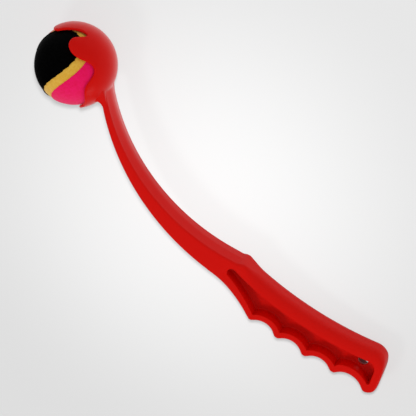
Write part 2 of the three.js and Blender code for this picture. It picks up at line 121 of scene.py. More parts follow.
ARM_BACK_AT_CUP_DEG = 12.5
ARM_FRONT_AT_CUP_DEG = 1.5
ARM_BACK_SAG = 22.4
ARM_FRONT_SAG = 16.5
ARM_WIDTH_AT_CUP = 24
ARM_WIDTH_AT_HANDLE = 22.4
ARM_EDGE_RADIUS = 1.8
ARM_CROWN_AT_CUP = 2
ARM_CROWN_AT_HANDLE = 0.8
RIDGE_WIDTH_AT_CUP = 5.6
RIDGE_WIDTH_AT_HANDLE = 1
RIDGE_SOFT_SHARE = 0.3
HUMP_EDGE_LENGTH = 8
ARM_ROOT_OVERRUN = 5

CUP_INNER = 32
CUP_OUTER = 34.1

EDGE_STEPS = 10
ARM_STEPS = 110
HUMP_STEPS = 8
GROOVE_STEPS = 16
BUTT_STEPS = 12

# Each groove: where it starts and ends, its dip, the depth of its two crests, the rim inside them
crests = [GRIP_DEPTH + rise for rise in CREST_RISES]
pitch = (LAST_CREST - FIRST_CREST) / (len(crests) - 1)
grooves = [(
    -INDEX_GROOVE_LEAD,
    FIRST_CREST,
    INDEX_GROOVE_DIP,
    (NECK_DEPTH, crests[0]),
    (INDEX_RIM, FINGER_RIM),
)]
for k in range(len(crests) - 1):
    start = FIRST_CREST + k * pitch
    depths = (crests[k], crests[k + 1])
    grooves.append((start, start + pitch, FINGER_GROOVE_DIP, depths, (FINGER_RIM, FINGER_RIM)))
depths = (crests[-1], GRIP_DEPTH + BUTT_FLARE)
grooves.append((LAST_CREST, BUTT_TIP, BUTT_GROOVE_DIP, depths, (BUTT_GROOVE_RIM, BUTT_GROOVE_RIM)))


def lerp(start, end, share):
    return start + (end - start) * share


def smooth_share(value, start, end):
    """0 up to the start, 1 from the end on, and a smooth rise between them."""
    share = min(max((value - start) / (end - start), 0), 1)
    return share * share * (3 - 2 * share)


def quarter_turn(steps):
    """The angles of a quarter turn in even steps."""
    return [pi / 2 * k / steps for k in range(steps + 1)]


def groove_at(length):
    """Of the groove there: half length, distance from its middle, radius, dip, crest depth, rim."""
    start, end, dip, depths, rims = next((g for g in grooves if length <= g[1]), grooves[-1])
    share = (length - start) / (end - start)
    half = (end - start) * (PALM_RADIUS + GRIP_DEPTH) / PALM_RADIUS / 2
    radii = (half * half + dip * dip) / (2 * dip)
    return half, abs(2 * share - 1) * half, radii, dip, lerp(*depths, share), lerp(*rims, share)


def finger_depth(length):
    """The finger side: round grooves between small round crests."""
    if length > BUTT_TIP:
        into = min(length - BUTT_TIP, BUTT_TIP_RADIUS)
        return GRIP_DEPTH + BUTT_FLARE - BUTT_TIP_RADIUS + sqrt(BUTT_TIP_RADIUS**2 - into**2)
    half, off, radii, dip, depth, _ = groove_at(length)
    radius = radii - CREST_RADIUS
    if off <= half * radius / radii:
        return depth - dip + radius - sqrt(radius**2 - off**2)
    return depth - CREST_RADIUS + sqrt(CREST_RADIUS**2 - (half - off) ** 2)


def half_section(
    back, front, half_width, back_radius, front_radius, crown, ridge, front_depth=0, bulge=0
):
    """Half a section, from its ridge over its side to the middle of its front.

    The bulge moves it outwards along the handle, most at half the depth of the grip.
    """
    across = back - front
    depth = across.length
    across.normalize()
    along = Vector((across.y, -across.x))
    palm = min(back_radius, half_width, depth / 2)
    finger = min(front_radius, half_width, depth / 2)
    soft = ridge / 2 * RIDGE_SOFT_SHARE
    fall = crown / (half_width - palm - ridge / 2)
    half = [(depth + crown, 0), (depth + crown, ridge / 2 - soft)]
    half.append((depth + crown - fall * soft, ridge / 2 + soft))
    slope_end = half_width - palm
    for share in (1 / 3, 2 / 3):
        place = lerp(ridge / 2 + soft, slope_end, share)
        half.append((depth + crown - fall * (place - ridge / 2), place))
    for angle in quarter_turn(EDGE_STEPS):
        half.append((depth - palm + palm * cos(angle), slope_end + palm * sin(angle)))
    for angle in quarter_turn(EDGE_STEPS):
        half.append((finger - finger * sin(angle), half_width - finger + finger * cos(angle)))
    half.append((0, (half_width - finger) / 2))
    half.append((0, 0))
    row = []
    for d, z in half:
        share = 2 * (front_depth - d) / (GRIP_DEPTH + BUTT_FLARE) - 1
        point = front + across * d + along * bulge * (1 - share * share)
        row.append(Vector((point.x, point.y, z)))
    return row


def finger_edge(length):
    """The radius of the two edges on the finger side."""
    rounded = smooth_share(length, -INDEX_GROOVE_LEAD, FIRST_CREST)
    return lerp(ARM_EDGE_RADIUS, FINGER_EDGE_RADIUS, rounded)


def handle_width(length):
    return lerp(ARM_WIDTH_AT_HANDLE, HANDLE_WIDTH, smooth_share(length, 0, HANDLE_WIDENING))


def handle_section(length):
    """The handle's half section at that length along the palm arc."""
    into_butt = max(length - (HANDLE_LENGTH - BUTT_EDGE_RADIUS), 0)
    butt_inset = BUTT_EDGE_RADIUS - sqrt(BUTT_EDGE_RADIUS**2 - into_butt**2)
    into_palm = max(length - (HANDLE_LENGTH - BUTT_PALM_RADIUS), 0)
    palm_inset = BUTT_PALM_RADIUS - sqrt(BUTT_PALM_RADIUS**2 - into_palm**2)
    hump = max(1 - length / HUMP_RUN_OUT, 0) ** 2
    widened = smooth_share(length, 0, HANDLE_WIDENING)
    return half_section(
        handle_point(length, HUMP_STEP * hump + palm_inset + butt_inset),
        handle_point(length, finger_depth(length) - butt_inset),
        HANDLE_WIDTH / 2 - butt_inset,
        lerp(HUMP_EDGE_RADIUS, PALM_EDGE_RADIUS, widened),
        finger_edge(length),
        ARM_CROWN_AT_HANDLE * hump,
        RIDGE_WIDTH_AT_HANDLE,
        finger_depth(length) - butt_inset,
        BUTT_BULGE * smooth_share(length, LAST_CREST, HANDLE_LENGTH),
    )


def arc_through(start, end, sag):
    """A function of the share along an arc between two points, and the arc's length."""
    chord = end - start
    half = chord.length / 2
    radius = (half * half + sag * sag) / (2 * sag)
    along = chord.normalized()
    up = Vector((-along.y, along.x))
    centre = (start + end) / 2 + up * (radius - sag)
    half_angle = asin(half / radius)

    def at(share):
        angle = lerp(-half_angle, half_angle, share)
        return centre + along * radius * sin(angle) - up * radius * cos(angle)

    return at, 2 * half_angle * radius


def cup_point(angle_deg):
    """A place of the mid-plane on the outside of the cup."""
    return CUP_OUTER * Vector((cos(radians(angle_deg)), sin(radians(angle_deg))))


hump_foot = handle_point(0, HUMP_STEP)
neck = handle_point(-INDEX_GROOVE_LEAD, NECK_DEPTH)
arm_back, back_length = arc_through(cup_point(ARM_BACK_AT_CUP_DEG), hump_foot, ARM_BACK_SAG)
arm_front, front_length = arc_through(cup_point(ARM_FRONT_AT_CUP_DEG), neck, ARM_FRONT_SAG)
neck_share = front_length / (front_length + INDEX_GROOVE_LEAD)


def arm_section(share):
    """The arm's half section at that share of its back, from the cup to the hump."""
    groove = lerp(-INDEX_GROOVE_LEAD, 0, (share - neck_share) / (1 - neck_share))
    on_arc = share < neck_share
    rounded = smooth_share(share * back_length, back_length - HUMP_EDGE_LENGTH, back_length)
    return half_section(
        arm_back(share),
        arm_front(share / neck_share) if on_arc else handle_point(groove, finger_depth(groove)),
        HANDLE_WIDTH / 2,
        lerp(ARM_EDGE_RADIUS, HUMP_EDGE_RADIUS, rounded),
        ARM_EDGE_RADIUS if on_arc else finger_edge(groove),
        lerp(ARM_CROWN_AT_CUP, ARM_CROWN_AT_HANDLE, share),
        lerp(RIDGE_WIDTH_AT_CUP, RIDGE_WIDTH_AT_HANDLE, share),
    )


hump_lengths = [HUMP_RUN_OUT * k / HUMP_STEPS for k in range(HUMP_STEPS)]
grip_lengths = [lerp(g[0], g[1], k / GROOVE_STEPS) for g in grooves for k in range(GROOVE_STEPS)]
butt_lengths = [lerp(BUTT_TIP, HANDLE_LENGTH, sin(angle)) for angle in quarter_turn(BUTT_STEPS)]
handle_lengths = hump_lengths + [l for l in grip_lengths if l >= HUMP_RUN_OUT] + butt_lengths

rows = [arm_section(-ARM_ROOT_OVERRUN / back_length)]
rows += [arm_section(k / ARM_STEPS) for k in range(ARM_STEPS)]
widths = [lerp(ARM_WIDTH_AT_CUP, ARM_WIDTH_AT_HANDLE, k / ARM_STEPS) for k in range(-1, ARM_STEPS)]
rows += [handle_section(length) for length in handle_lengths]
widths += [handle_width(length) for length in handle_lengths]

# The pocket's mouth: a half round start, an even palm side, a round corner at the butt, and a
# finger side that follows the grooves with a cusp at each crest
WEB_THICKNESS = 3.4
PALM_RIM = 9.1
BUTT_RIM = 5.4
POCKET_START = 2
POCKET_CORNER = 7
POCKET_TIP = 1.6
LIP_RADIUS = 0.6
FLOOR_FILLET = 1.0
DRAFT = radians(1)
MOUTH_GAP = 0.8
MOUTH_STEPS = 12
TIP_STEPS = 3
CORNER_STEPS = 6
SHARPEST_TURN = 0.4
POCKET_EDGE_STEPS = 3
WALL_SHARES = (0.35, 0.7)


def pocket_depth(length):
    """How deep the pocket reaches there: its wall keeps an even rim inside the groove."""
    _, off, radii, dip, depth, rim = groove_at(min(length, BUTT_TIP))
    radius = radii - CREST_RADIUS
    return depth - dip + radius - sqrt((radius + rim) ** 2 - off**2)


pocket_end = HANDLE_LENGTH - BUTT_RIM
end_radius = (pocket_depth(POCKET_START) - PALM_RIM) / 2
mouth = []
for k in range(MOUTH_STEPS + 1):
    angle = pi * k / MOUTH_STEPS
    mouth.append((POCKET_START - end_radius * sin(angle), PALM_RIM + end_radius * (1 - cos(angle))))
straight_end = pocket_end - POCKET_TIP
mouth_start = POCKET_START + MOUTH_GAP
mouth += [(l, pocket_depth(l)) for l in handle_lengths if mouth_start < l < straight_end - MOUTH_GAP]
tip_depth = pocket_depth(straight_end)
for angle in quarter_turn(TIP_STEPS):
    mouth.append((straight_end + POCKET_TIP * sin(angle), tip_depth - POCKET_TIP * (1 - cos(angle))))
for angle in quarter_turn(CORNER_STEPS):
    mouth.append((
        pocket_end - POCKET_CORNER * (1 - cos(angle)),
        PALM_RIM + POCKET_CORNER * (1 - sin(angle)),
    ))
palm_end = pocket_end - POCKET_CORNER - MOUTH_GAP
mouth += [(l, PALM_RIM) for l in reversed(handle_lengths) if mouth_start < l < palm_end]


def offset_loop(places, inset, height):
    """The loop of places moved into the pocket by inset, at that height over the mid-plane."""
    flat = [handle_point(*place) for place in places]
    loop = []
    for k, here in enumerate(flat):
        before = (here - flat[k - 1]).normalized()
        after = (flat[(k + 1) % len(flat)] - here).normalized()
        inward = Vector((-(before + after).y, (before + after).x)).normalized()
        reach = inset / max(inward.dot(Vector((-before.y, before.x))), SHARPEST_TURN)
        moved = here + inward * reach
        loop.append(Vector((moved.x, moved.y, height)))
    return loop


half_width = HANDLE_WIDTH / 2
floor = WEB_THICKNESS / 2
profile = []
for angle in quarter_turn(POCKET_EDGE_STEPS):
    profile.append((-LIP_RADIUS * (1 - sin(angle)), half_width - LIP_RADIUS * (1 - cos(angle))))
wall_height = half_width - LIP_RADIUS - floor - FLOOR_FILLET
for share in WALL_SHARES:
    profile.append((tan(DRAFT) * wall_height * share, half_width - LIP_RADIUS - wall_height * share))
for angle in quarter_turn(POCKET_EDGE_STEPS):
    profile.append((
        tan(DRAFT) * wall_height + FLOOR_FILLET * (1 - cos(angle)),
        floor + FLOOR_FILLET * (1 - sin(angle)),
    ))
pocket_rows = [offset_loop(mouth, inset, height) for inset, height in profile]

# The hanging hole goes through the web near the butt
HOLE_DIAMETER = 8.4
HOLE_FROM_BUTT = 16.3
HOLE_DEPTH = 15.9
HOLE_SIDES = 48
HOLE_CHAMFER = 0.4
HOLE_CHAMFER_MIDDLE = 0.12
hole_centre = handle_point(HANDLE_LENGTH - HOLE_FROM_BUTT, HOLE_DEPTH)
hole_rows = []
for grown, height in (
    (HOLE_CHAMFER, floor),
    (HOLE_CHAMFER_MIDDLE, floor - HOLE_CHAMFER_MIDDLE),
    (0, floor - HOLE_CHAMFER),
    (0, 0),
):
    ring = []
    for k in range(HOLE_SIDES):
        angle = 2 * pi * k / HOLE_SIDES
        spot = hole_centre + (HOLE_DIAMETER / 2 + grown) * Vector((cos(angle), sin(angle)))
        ring.append(Vector((spot.x, spot.y, height)))
    hole_rows.append(ring)

# All points are laid at the handle's full width, and each keeps the share of it that it really has
body_mesh = bmesh.new()
scale_of = body_mesh.verts.layers.float.new("width_share")


def add_row(points, width):
    """Points of the moulding that keep the width of it there."""
    verts = [body_mesh.verts.new(point) for point in points]
    for vert in verts:
        vert[scale_of] = width / HANDLE_WIDTH
    return verts


def skin(first, second, closed=False, skipped=()):
    """Faces between two rows of equally many points."""
    count = len(first)
    for k in range(count if closed else count - 1):
        if k not in skipped:
            following = (k + 1) % count
            body_mesh.faces.new((first[k], first[following], second[following], second[k]))


# The flat side between its two edges stays open from just before the hump to the butt's edge, and is
# filled round the pocket's mouth below
CROWN_POINTS = 5
SIDE_LEAD_ROWS = 12
side_gap = CROWN_POINTS + EDGE_STEPS
skin_rows = [add_row(row, width) for row, width in zip(rows, widths)]
first_handle = len(rows) - len(handle_lengths) - SIDE_LEAD_ROWS
last_flat = max(
    len(rows) - len(handle_lengths) + k
    for k, length in enumerate(handle_lengths)
    if length <= HANDLE_LENGTH - BUTT_EDGE_RADIUS
)
for k in range(len(skin_rows) - 1):
    skipped = (side_gap,) if first_handle <= k < last_flat else ()
    skin(skin_rows[k], skin_rows[k + 1], skipped=skipped)
body_mesh.faces.new(skin_rows[0])
body_mesh.faces.new(skin_rows[-1])


def length_at(point):
    """The length along the palm arc where a point lies."""
    spoke = Vector((point.x, point.y)) - palm_centre
    return (atan2(spoke.x, -spoke.y) - PALM_START) * PALM_RADIUS


pocket_verts = []
for loop in pocket_rows:
    verts = [body_mesh.verts.new(point) for point in loop]
    for vert in verts:
        vert[scale_of] = handle_width(length_at(vert.co)) / HANDLE_WIDTH
    pocket_verts.append(verts)
for first, second in zip(pocket_verts, pocket_verts[1:]):
    skin(first, second, closed=True)
hole_verts = [add_row(ring, HANDLE_WIDTH) for ring in hole_rows]
for first, second in zip(hole_verts, hole_verts[1:]):
    skin(first, second, closed=True)


def loop_edges(verts):
    """The edges round a loop, made where there are none yet."""
    pairs = zip(verts, verts[1:] + verts[:1])
    return [body_mesh.edges.get(pair) or body_mesh.edges.new(pair) for pair in pairs]


side_rows = skin_rows[first_handle:last_flat + 1]
side_loop = [row[side_gap] for row in side_rows] + [row[side_gap + 1] for row in reversed(side_rows)]
for outer, inner in ((side_loop, pocket_verts[0]), (pocket_verts[-1], hole_verts[0])):
    edges = loop_edges(outer) + loop_edges(inner)
    bmesh.ops.triangle_fill(
        body_mesh, use_beauty=True, use_dissolve=False, edges=edges, normal=(0, 0, 1)
    )
for vert in body_mesh.verts:
    vert.co.z *= vert[scale_of]

# The root of the arm spreads over the cup in a hollow flare, wide at its sides and small at its back,
# with a crisp crease where it meets the cup. Each size is a rise along the arm and a spread on the cup.
ROOT_FRONT = (2, 7)
ROOT_SIDE = (8, 5)
ROOT_BACK = (0.6, 0.6)
ROOT_HOLLOW = 0.35
ROOT_STEPS = 12
ROOT_DEPTH = 0.6
ROOT_INSET = 0.1
ROOT_FAN = 0.5
ROOT_BACK_BLEND = (0, 0.5)
ROOT_FRONT_BLEND = (0.4, 0.9)
ROOT_LINE_START = -18
ROOT_LINE_POINTS = 96
ROOT_LINE_STEP = 0.5
A_LITTLE_ON = 0.01
root_samples = [ROOT_LINE_START + k * ROOT_LINE_STEP for k in range(ROOT_LINE_POINTS)]


def whole_section(run):
    """All round the arm at that distance from the cup."""
    half = arm_section(run / back_length)
    width_share = lerp(ARM_WIDTH_AT_CUP, ARM_WIDTH_AT_HANDLE, run / back_length) / HANDLE_WIDTH
    near = [Vector((v.x, v.y, v.z * width_share)) for v in half]
    return near + [Vector((v.x, v.y, -v.z)) for v in reversed(near[1:-1])]


arm_lines = list(zip(*[whole_section(run) for run in root_samples]))


def on_sphere(line, radius):
    """Where one line along the arm leaves the sphere of that radius."""
    for a, b in zip(reversed(line[:-1]), reversed(line[1:])):
        if a.length <= radius:
            return a.lerp(b, (radius - a.length) / (b.length - a.length))
    return line[0]


root_rows = []
arm_along = (arm_back(A_LITTLE_ON) - arm_back(0)).normalized()
back_way = Vector((-arm_along.y, arm_along.x, 0))
root_middle = ((arm_back(0) + arm_front(0)) / 2).to_3d()
# One row more than there are steps from end to end: the last one is sunk into the cup's wall
for step in range(ROOT_STEPS + 2):
    share = min(step / ROOT_STEPS, 1)
    turn = pi / 2 * share
    rise_left = lerp(1 - share, 1 - sin(turn), ROOT_HOLLOW)
    spread_done = lerp(share, 1 - cos(turn), ROOT_HOLLOW)
    sunk = ROOT_DEPTH if step > ROOT_STEPS else 0
    loop = []
    for k, line in enumerate(arm_lines):
        beside = [arm_lines[k - 1], arm_lines[(k + 1) % len(arm_lines)]]
        base = on_sphere(line, CUP_OUTER + ROOT_SIDE[0] * rise_left)
        around = on_sphere(beside[1], base.length) - on_sphere(beside[0], base.length)
        square_to_line = around.cross(base).normalized()
        from_middle = (base - root_middle).normalized()
        outward = square_to_line + from_middle * ROOT_FAN
        outward = (outward - base * outward.dot(base) / base.length_squared).normalized()
        toward_back = outward.dot(back_way)
        end_size, blend = ROOT_FRONT, ROOT_FRONT_BLEND
        if toward_back > 0:
            end_size, blend = ROOT_BACK, ROOT_BACK_BLEND
        end_share = smooth_share(abs(toward_back), *blend)
        rise, spread = (lerp(*sizes, end_share) for sizes in zip(ROOT_SIDE, end_size))
        level = CUP_OUTER + rise * rise_left
        start = on_sphere(line, level)
        moved = start + outward * (spread * spread_done - ROOT_INSET)
        loop.append(moved.normalized() * (level - sunk))
    root_rows.append(loop)


MERGE_DISTANCE = 0.002


def new_piece(name, points, faces):
    """A mesh object from points in millimetres of the thrower's own plane."""
    mesh = bpy.data.meshes.new(name)
    mesh.from_pydata([tuple(point) for point in points], [], faces)
    piece = bpy.data.objects.new(name, mesh)
    bpy.context.collection.objects.link(piece)
    return piece


def pick(piece):
    """Only this piece is selected and active."""
    bpy.ops.object.select_all(action="DESELECT")
    piece.select_set(True)
    bpy.context.view_layer.objects.active = piece


def tidy_normals(piece):
    """Doubles are merged, and the faces point outwards."""
    pick(piece)
    bpy.ops.object.mode_set(mode="EDIT")
    bpy.ops.mesh.select_all(action="SELECT")
    bpy.ops.mesh.remove_doubles(threshold=MERGE_DISTANCE)
    bpy.ops.mesh.normals_make_consistent(inside=False)
    bpy.ops.object.mode_set(mode="OBJECT")


def closed_piece(name, loops, first_middle, last_middle):
    """A closed skin over loops of equally many points, with a fan over each end."""
    count = len(loops[0])
    end = len(loops) * count
    faces = []
    for k in range(count):
        following = (k + 1) % count
        faces.append((end, following, k))
        faces.append((end + 1, end - count + k, end - count + following))
        for here in range(0, end - count, count):
            faces.append((here + k, here + following, here + count + following, here + count + k))
    points = [point for loop in loops for point in loop]
    piece = new_piece(name, points + [first_middle, last_middle], faces)
    tidy_normals(piece)
    return piece


root_ends = [sum(loop, Vector()) / len(loop) for loop in (root_rows[0], root_rows[-1])]
root = closed_piece("root", root_rows, *root_ends)


def apply_modifier(piece, kind, **settings):
    modifier = piece.modifiers.new(kind.title(), kind)
    for key, value in settings.items():
        setattr(modifier, key, value)
    pick(piece)
    bpy.ops.object.modifier_apply(modifier=modifier.name)


thrower = new_piece("thrower", [], [])
body_mesh.to_mesh(thrower.data)
body_mesh.free()
apply_modifier(thrower, "MIRROR", use_axis=(False, False, True), merge_threshold=MERGE_DISTANCE / 2)
tidy_normals(thrower)

# Cup of the thrower
# The claw shaped cup is part of the same moulding: a round shell with two fingers, a lobe on each
# side and an even round lip. It is joined to the arm.
OPENING = radians(-116)
RIM_AZIMUTH_REACH_DEG = [
    (0, 99.3), (7, 97.5), (12, 91), (12.9, 82), (13.2, 69), (14, 60), (16, 52.5), (20, 48),
    (25, 50.9), (28.5, 59.4), (30.5, 65.4), (36, 70), (43, 71.6), (50, 70.4), (57, 67.2), (66, 59.4),
    (74, 50), (83, 44.7), (92, 43.3), (99, 46), (105, 53.4), (110.5, 62.3), (118, 68.7), (128, 73.3),
    (139, 78.4), (147, 84), (153, 90), (161, 96.5), (170, 99.3), (180, 99.3),
]
FAR_SHOULDER_AZIMUTH_REACH_DEG = [(12.5, 90), (15, 86), (20, 81), (28, 76), (36, 73)]
RIM_STEPS = 420
RIM_FINE_STEPS = 16
SHELL_RINGS = 26
LIP_STEPS = 8
CAVITY_SEGMENTS = 96
SMOOTH_ANGLE = radians(34)

cup_back = Vector((-cos(OPENING), -sin(OPENING), 0))
cup_top = Vector((-cup_back.y, cup_back.x, 0))
cup_side = cup_back.cross(cup_top)
mirrored = RIM_AZIMUTH_REACH_DEG[1:-1]
far_side = [place for place in mirrored if place[0] < FAR_SHOULDER_AZIMUTH_REACH_DEG[0][0]]
far_side += FAR_SHOULDER_AZIMUTH_REACH_DEG
far_side += [place for place in mirrored if place[0] > FAR_SHOULDER_AZIMUTH_REACH_DEG[-1][0]]
far_side = [(-azimuth, reach) for azimuth, reach in reversed(far_side)]
rim_places = [
    cup_back * cos(radians(reach))
    + cup_top * sin(radians(reach)) * cos(radians(azimuth))
    + cup_side * sin(radians(reach)) * sin(radians(azimuth))
    for azimuth, reach in RIM_AZIMUTH_REACH_DEG + far_side
]


def smooth_loop(places, steps):
    """Evenly spaced points of a smooth closed line through the places."""
    fine = []
    count = len(places)
    for k in range(count):
        p = [places[(k + j) % count] for j in (-1, 0, 1, 2)]
        t = [0]
        for a, b in zip(p, p[1:]):
            t.append(t[-1] + sqrt((b - a).length))
        for j in range(RIM_FINE_STEPS):
            u = lerp(t[1], t[2], j / RIM_FINE_STEPS)
            a1 = p[0].lerp(p[1], (u - t[0]) / (t[1] - t[0]))
            a2 = p[1].lerp(p[2], (u - t[1]) / (t[2] - t[1]))
            a3 = p[2].lerp(p[3], (u - t[2]) / (t[3] - t[2]))
            b1 = a1.lerp(a2, (u - t[0]) / (t[2] - t[0]))
            b2 = a2.lerp(a3, (u - t[1]) / (t[3] - t[1]))
            fine.append(b1.lerp(b2, (u - t[1]) / (t[2] - t[1])))
    runs = [0]
    for a, b in zip(fine, fine[1:] + fine[:1]):
        runs.append(runs[-1] + (b - a).length)
    loop = []
    k = 0
    for step in range(steps):
        target = runs[-1] * step / steps
        while runs[k + 1] < target:
            k += 1
        share = (target - runs[k]) / (runs[k + 1] - runs[k])
        loop.append(fine[k].lerp(fine[(k + 1) % len(fine)], share).normalized())
    return loop


def shell_rows(pole, rim, inner, outer, rings, lip_steps, lip_inset):
    """Rows of a round shell from its pole along the inside, over its lip and back outside."""
    middle = (inner + outer) / 2
    half_wall = (outer - inner) / 2
    edge = []
    for k, point in enumerate(rim):
        tangent = rim[(k + 1) % len(rim)] - rim[k - 1]
        inward = point.cross(tangent).normalized()
        edge.append(((point + inward * lip_inset / middle).normalized(), inward))

    def ring(radius, share):
        return [pole.slerp(point, share) * radius for point, _ in edge]

    rows = [ring(inner, k / rings) for k in range(1, rings + 1)]
    for k in range(1, lip_steps):
        angle = pi * (k / lip_steps - 1 / 2)
        rows.append([
            point * (middle + half_wall * sin(angle)) - inward * lip_inset * cos(angle)
            for point, inward in edge
        ])
    return rows + [ring(outer, k / rings) for k in range(rings, 0, -1)]


half_wall = (CUP_OUTER - CUP_INNER) / 2
rim = smooth_loop(rim_places, RIM_STEPS)
cup_rows = shell_rows(cup_back, rim, CUP_INNER, CUP_OUTER, SHELL_RINGS, LIP_STEPS, half_wall)
cup = closed_piece("cup", cup_rows, cup_back * CUP_INNER, cup_back * CUP_OUTER)

# What reaches into the cup's room is cut away before the cup is joined on
bpy.ops.object.select_all(action="DESELECT")
bpy.ops.mesh.primitive_uv_sphere_add(
    segments=CAVITY_SEGMENTS, ring_count=CAVITY_SEGMENTS // 2, radius=(CUP_INNER + CUP_OUTER) / 2
)
cavity = bpy.context.active_object
apply_modifier(thrower, "BOOLEAN", operation="UNION", object=root, solver="EXACT")
apply_modifier(thrower, "BOOLEAN", operation="DIFFERENCE", object=cavity, solver="EXACT")
apply_modifier(thrower, "BOOLEAN", operation="UNION", object=cup, solver="EXACT")
for helper in (root, cavity, cup):
    bpy.data.objects.remove(helper)
thrower.data.transform(laid_down)
pick(thrower)
bpy.ops.object.shade_smooth_by_angle(angle=SMOOTH_ANGLE)


def linear(hex_colour):
    """An sRGB hex colour as the linear colour that a shader takes."""
    shares = [int(hex_colour[k:k + 2], 16) / 255 for k in (1, 3, 5)]
    return [s / 12.92 if s <= 0.04045 else ((s + 0.055) / 1.055) ** 2.4 for s in shares] + [1]


def new_material(name):
    material = bpy.data.materials.new(name)
    material.use_nodes = True
    return material, material.node_tree.nodes["Principled BSDF"]


def node(material, kind, inputs=None, **settings):
    """A node with its settings; an input is a value, or a socket that is linked to it."""
    added = material.node_tree.nodes.new(kind)
    for key, value in settings.items():
        setattr(added, key, value)
    for key, value in (inputs or {}).items():
        if isinstance(value, bpy.types.NodeSocket):
            material.node_tree.links.new(value, added.inputs[key])
        else:
            added.inputs[key].default_value = value
    return added


def link(material, source, target):
    material.node_tree.links.new(source, target)


# Polypropylene, injection moulded in a polished mould: a deep saturated red with a satin gloss, and a
# hardly visible ripple about 4 mm from crest to crest where the walls have shrunk
RIPPLE_SPACING = 3.846
red, shader = new_material("moulded_red_polypropylene")
shader.inputs["Base Color"].default_value = linear("#d60a02")
shader.inputs["IOR"].default_value = 1.49
shader.inputs["Specular IOR Level"].default_value = 0.12
place = node(red, "ShaderNodeTexCoord").outputs["Object"]
ripple = node(red, "ShaderNodeTexNoise", {
    "Vector": place, "Scale": 1 / (RIPPLE_SPACING * MILLIMETRE), "Detail": 2,
})
gloss = node(red, "ShaderNodeMapRange", {"Value": ripple.outputs["Fac"], "To Min": 0.3, "To Max": 0.36})
link(red, gloss.outputs["Result"], shader.inputs["Roughness"])
bump = node(red, "ShaderNodeBump", {
    "Height": ripple.outputs["Fac"], "Strength": 0.04, "Distance": 0.4 * MILLIMETRE,
})
link(red, bump.outputs["Normal"], shader.inputs["Normal"])
thrower.data.materials.append(red)
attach(thrower, "thrower")
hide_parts("thrower_body")

# Ball
# A hollow rubber ball of two glued halves, covered by two felt panels and a band of yellow felt
# along their seam.
FELT_THICKNESS = 2.8
SEAM_WIDTH = 8
SEAM_RECESS = 0.4
SEAM_WAVE_SHARE = 0.23
SEAM_NUDGE = 0.001
PANEL_SINK = 0.1
PANEL_STEPS = 960
PANEL_RINGS = 24
PANEL_BACK_RINGS = 12
BAND_STEPS = 300
EDGE_WAVES = 94
EDGE_LUMPS = 47
LUMPS_LAG = 1
BALL_TURN_DEG = (90, -3, -8)
# The cut edge of a panel swells a little before it rounds down: distance from it, share of its rise
EDGE_SWELL = [(2, 0), (1.5, 0.3), (1.1, 0.75), (0.8, 1), (0.5, 0.95), (0.25, 0.6), (0.08, 0), (0, -0.8)]
ball_turn = Euler([radians(a) for a in BALL_TURN_DEG], "XYZ").to_matrix().to_4x4()


def seam_point(turn):
    """A place of the seam, a closed wave round the ball of radius one."""
    wave = SEAM_WAVE_SHARE
    return Vector((
        (1 - wave) * cos(turn) + wave * cos(3 * turn),
        (1 - wave) * sin(turn) - wave * sin(3 * turn),
        2 * sqrt((1 - wave) * wave) * sin(2 * turn),
    )).normalized()


def beside_seam(turn, distance):
    """The place beside the seam at that distance along the ball."""
    point = seam_point(turn)
    along = seam_point(turn + SEAM_NUDGE) - seam_point(turn - SEAM_NUDGE)
    towards_pole = point.cross(along).normalized()
    angle = distance / BALL_RADIUS
    return point * cos(angle) + towards_pole * sin(angle)


felt_inner = BALL_RADIUS - FELT_THICKNESS


def felt_panel(name, side, edge_rise, edge_wave):
    """A panel of felt on one side of the seam, whose edge swells and waves along the seam."""
    pole = Vector((0, 0, side))
    rim = []
    for k in range(PANEL_STEPS):
        turn = 2 * pi * k / PANEL_STEPS
        wave = cos(EDGE_WAVES * turn) + cos(EDGE_LUMPS * turn + LUMPS_LAG)
        distance = SEAM_WIDTH / 2 + edge_wave * wave
        rim.append(beside_seam(side * turn, side * distance))
    top = BALL_RADIUS - PANEL_SINK
    loops = []
    for k in range(1, PANEL_BACK_RINGS + 1):
        loops.append([pole.slerp(point, k / PANEL_BACK_RINGS) * felt_inner for point in rim])
    for distance, rise_share in reversed(EDGE_SWELL):
        shares = [1 - distance / (BALL_RADIUS * pole.angle(point)) for point in rim]
        radius = top + edge_rise * rise_share
        loops.append([pole.slerp(point, share) * radius for point, share in zip(rim, shares)])
    for k in range(PANEL_RINGS - 2, 0, -1):
        loops.append([pole.slerp(point, k / PANEL_RINGS) * top for point in rim])
    panel = closed_piece(name, loops, pole * felt_inner, pole * top)
    panel.data.transform(laid_down @ ball_turn)
    pick(panel)
    bpy.ops.object.shade_smooth_by_angle(angle=SMOOTH_ANGLE)
    return panel


# Needled wool and nylon felt: a matt nap of fine fibres that catches light at grazing angles. Its
# fibres are about 0.02 mm thick, too fine to show, so the nap is drawn as clumps of them
CLUMP_SPACING = 2.381


def felt(name, colour, light, sheen):
    material, shader = new_material(name)
    place = node(material, "ShaderNodeTexCoord").outputs["Object"]
    nap = node(material, "ShaderNodeTexNoise", {
        "Vector": place, "Scale": 1 / (CLUMP_SPACING * MILLIMETRE), "Detail": 5, "Roughness": 0.7,
    })
    clumps = node(material, "ShaderNodeMapRange", {
        "Value": nap.outputs["Fac"], "From Min": 0.35, "From Max": 0.65,
    })
    shade = node(material, "ShaderNodeMix", {"Factor": clumps.outputs["Result"]}, data_type="RGBA")
    shade.inputs["A"].default_value = linear(colour)
    shade.inputs["B"].default_value = linear(light)
    link(material, shade.outputs["Result"], shader.inputs["Base Color"])
    shader.inputs["Roughness"].default_value = 0.95
    shader.inputs["Specular IOR Level"].default_value = 0.15
    shader.inputs["Sheen Weight"].default_value = sheen
    shader.inputs["Sheen Roughness"].default_value = 0.5
    bump = node(material, "ShaderNodeBump", {
        "Height": nap.outputs["Fac"], "Strength": 0.5, "Distance": 0.4 * MILLIMETRE,
    })
    link(material, bump.outputs["Normal"], shader.inputs["Normal"])
    return material


